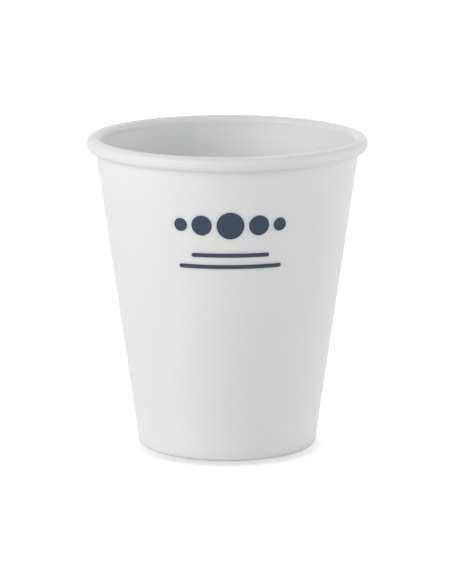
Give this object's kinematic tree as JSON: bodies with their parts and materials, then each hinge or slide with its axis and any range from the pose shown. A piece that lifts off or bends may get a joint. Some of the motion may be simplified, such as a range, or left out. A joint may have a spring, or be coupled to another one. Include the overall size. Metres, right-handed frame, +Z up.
{
  "type": "reusable cup",
  "caption": "Tapered reusable drinking cup in matt white plastic, with a thick round lip for a lid, a domed floor on a foot ring, and stacking lugs inside.",
  "frame": {"origin": "centre of the standing plane, under the foot ring", "axes": "+Z up along the cup's axis, towards the lip; -Y is the side that the picture shows"},
  "size_m": [0.09, 0.09, 0.1],
  "materials": {
    "cup_plastic": "fine spark-eroded matt"
  },
  "bodies": {
    "root": {"cup": "cup_plastic"}
  },
  "joints": []
}
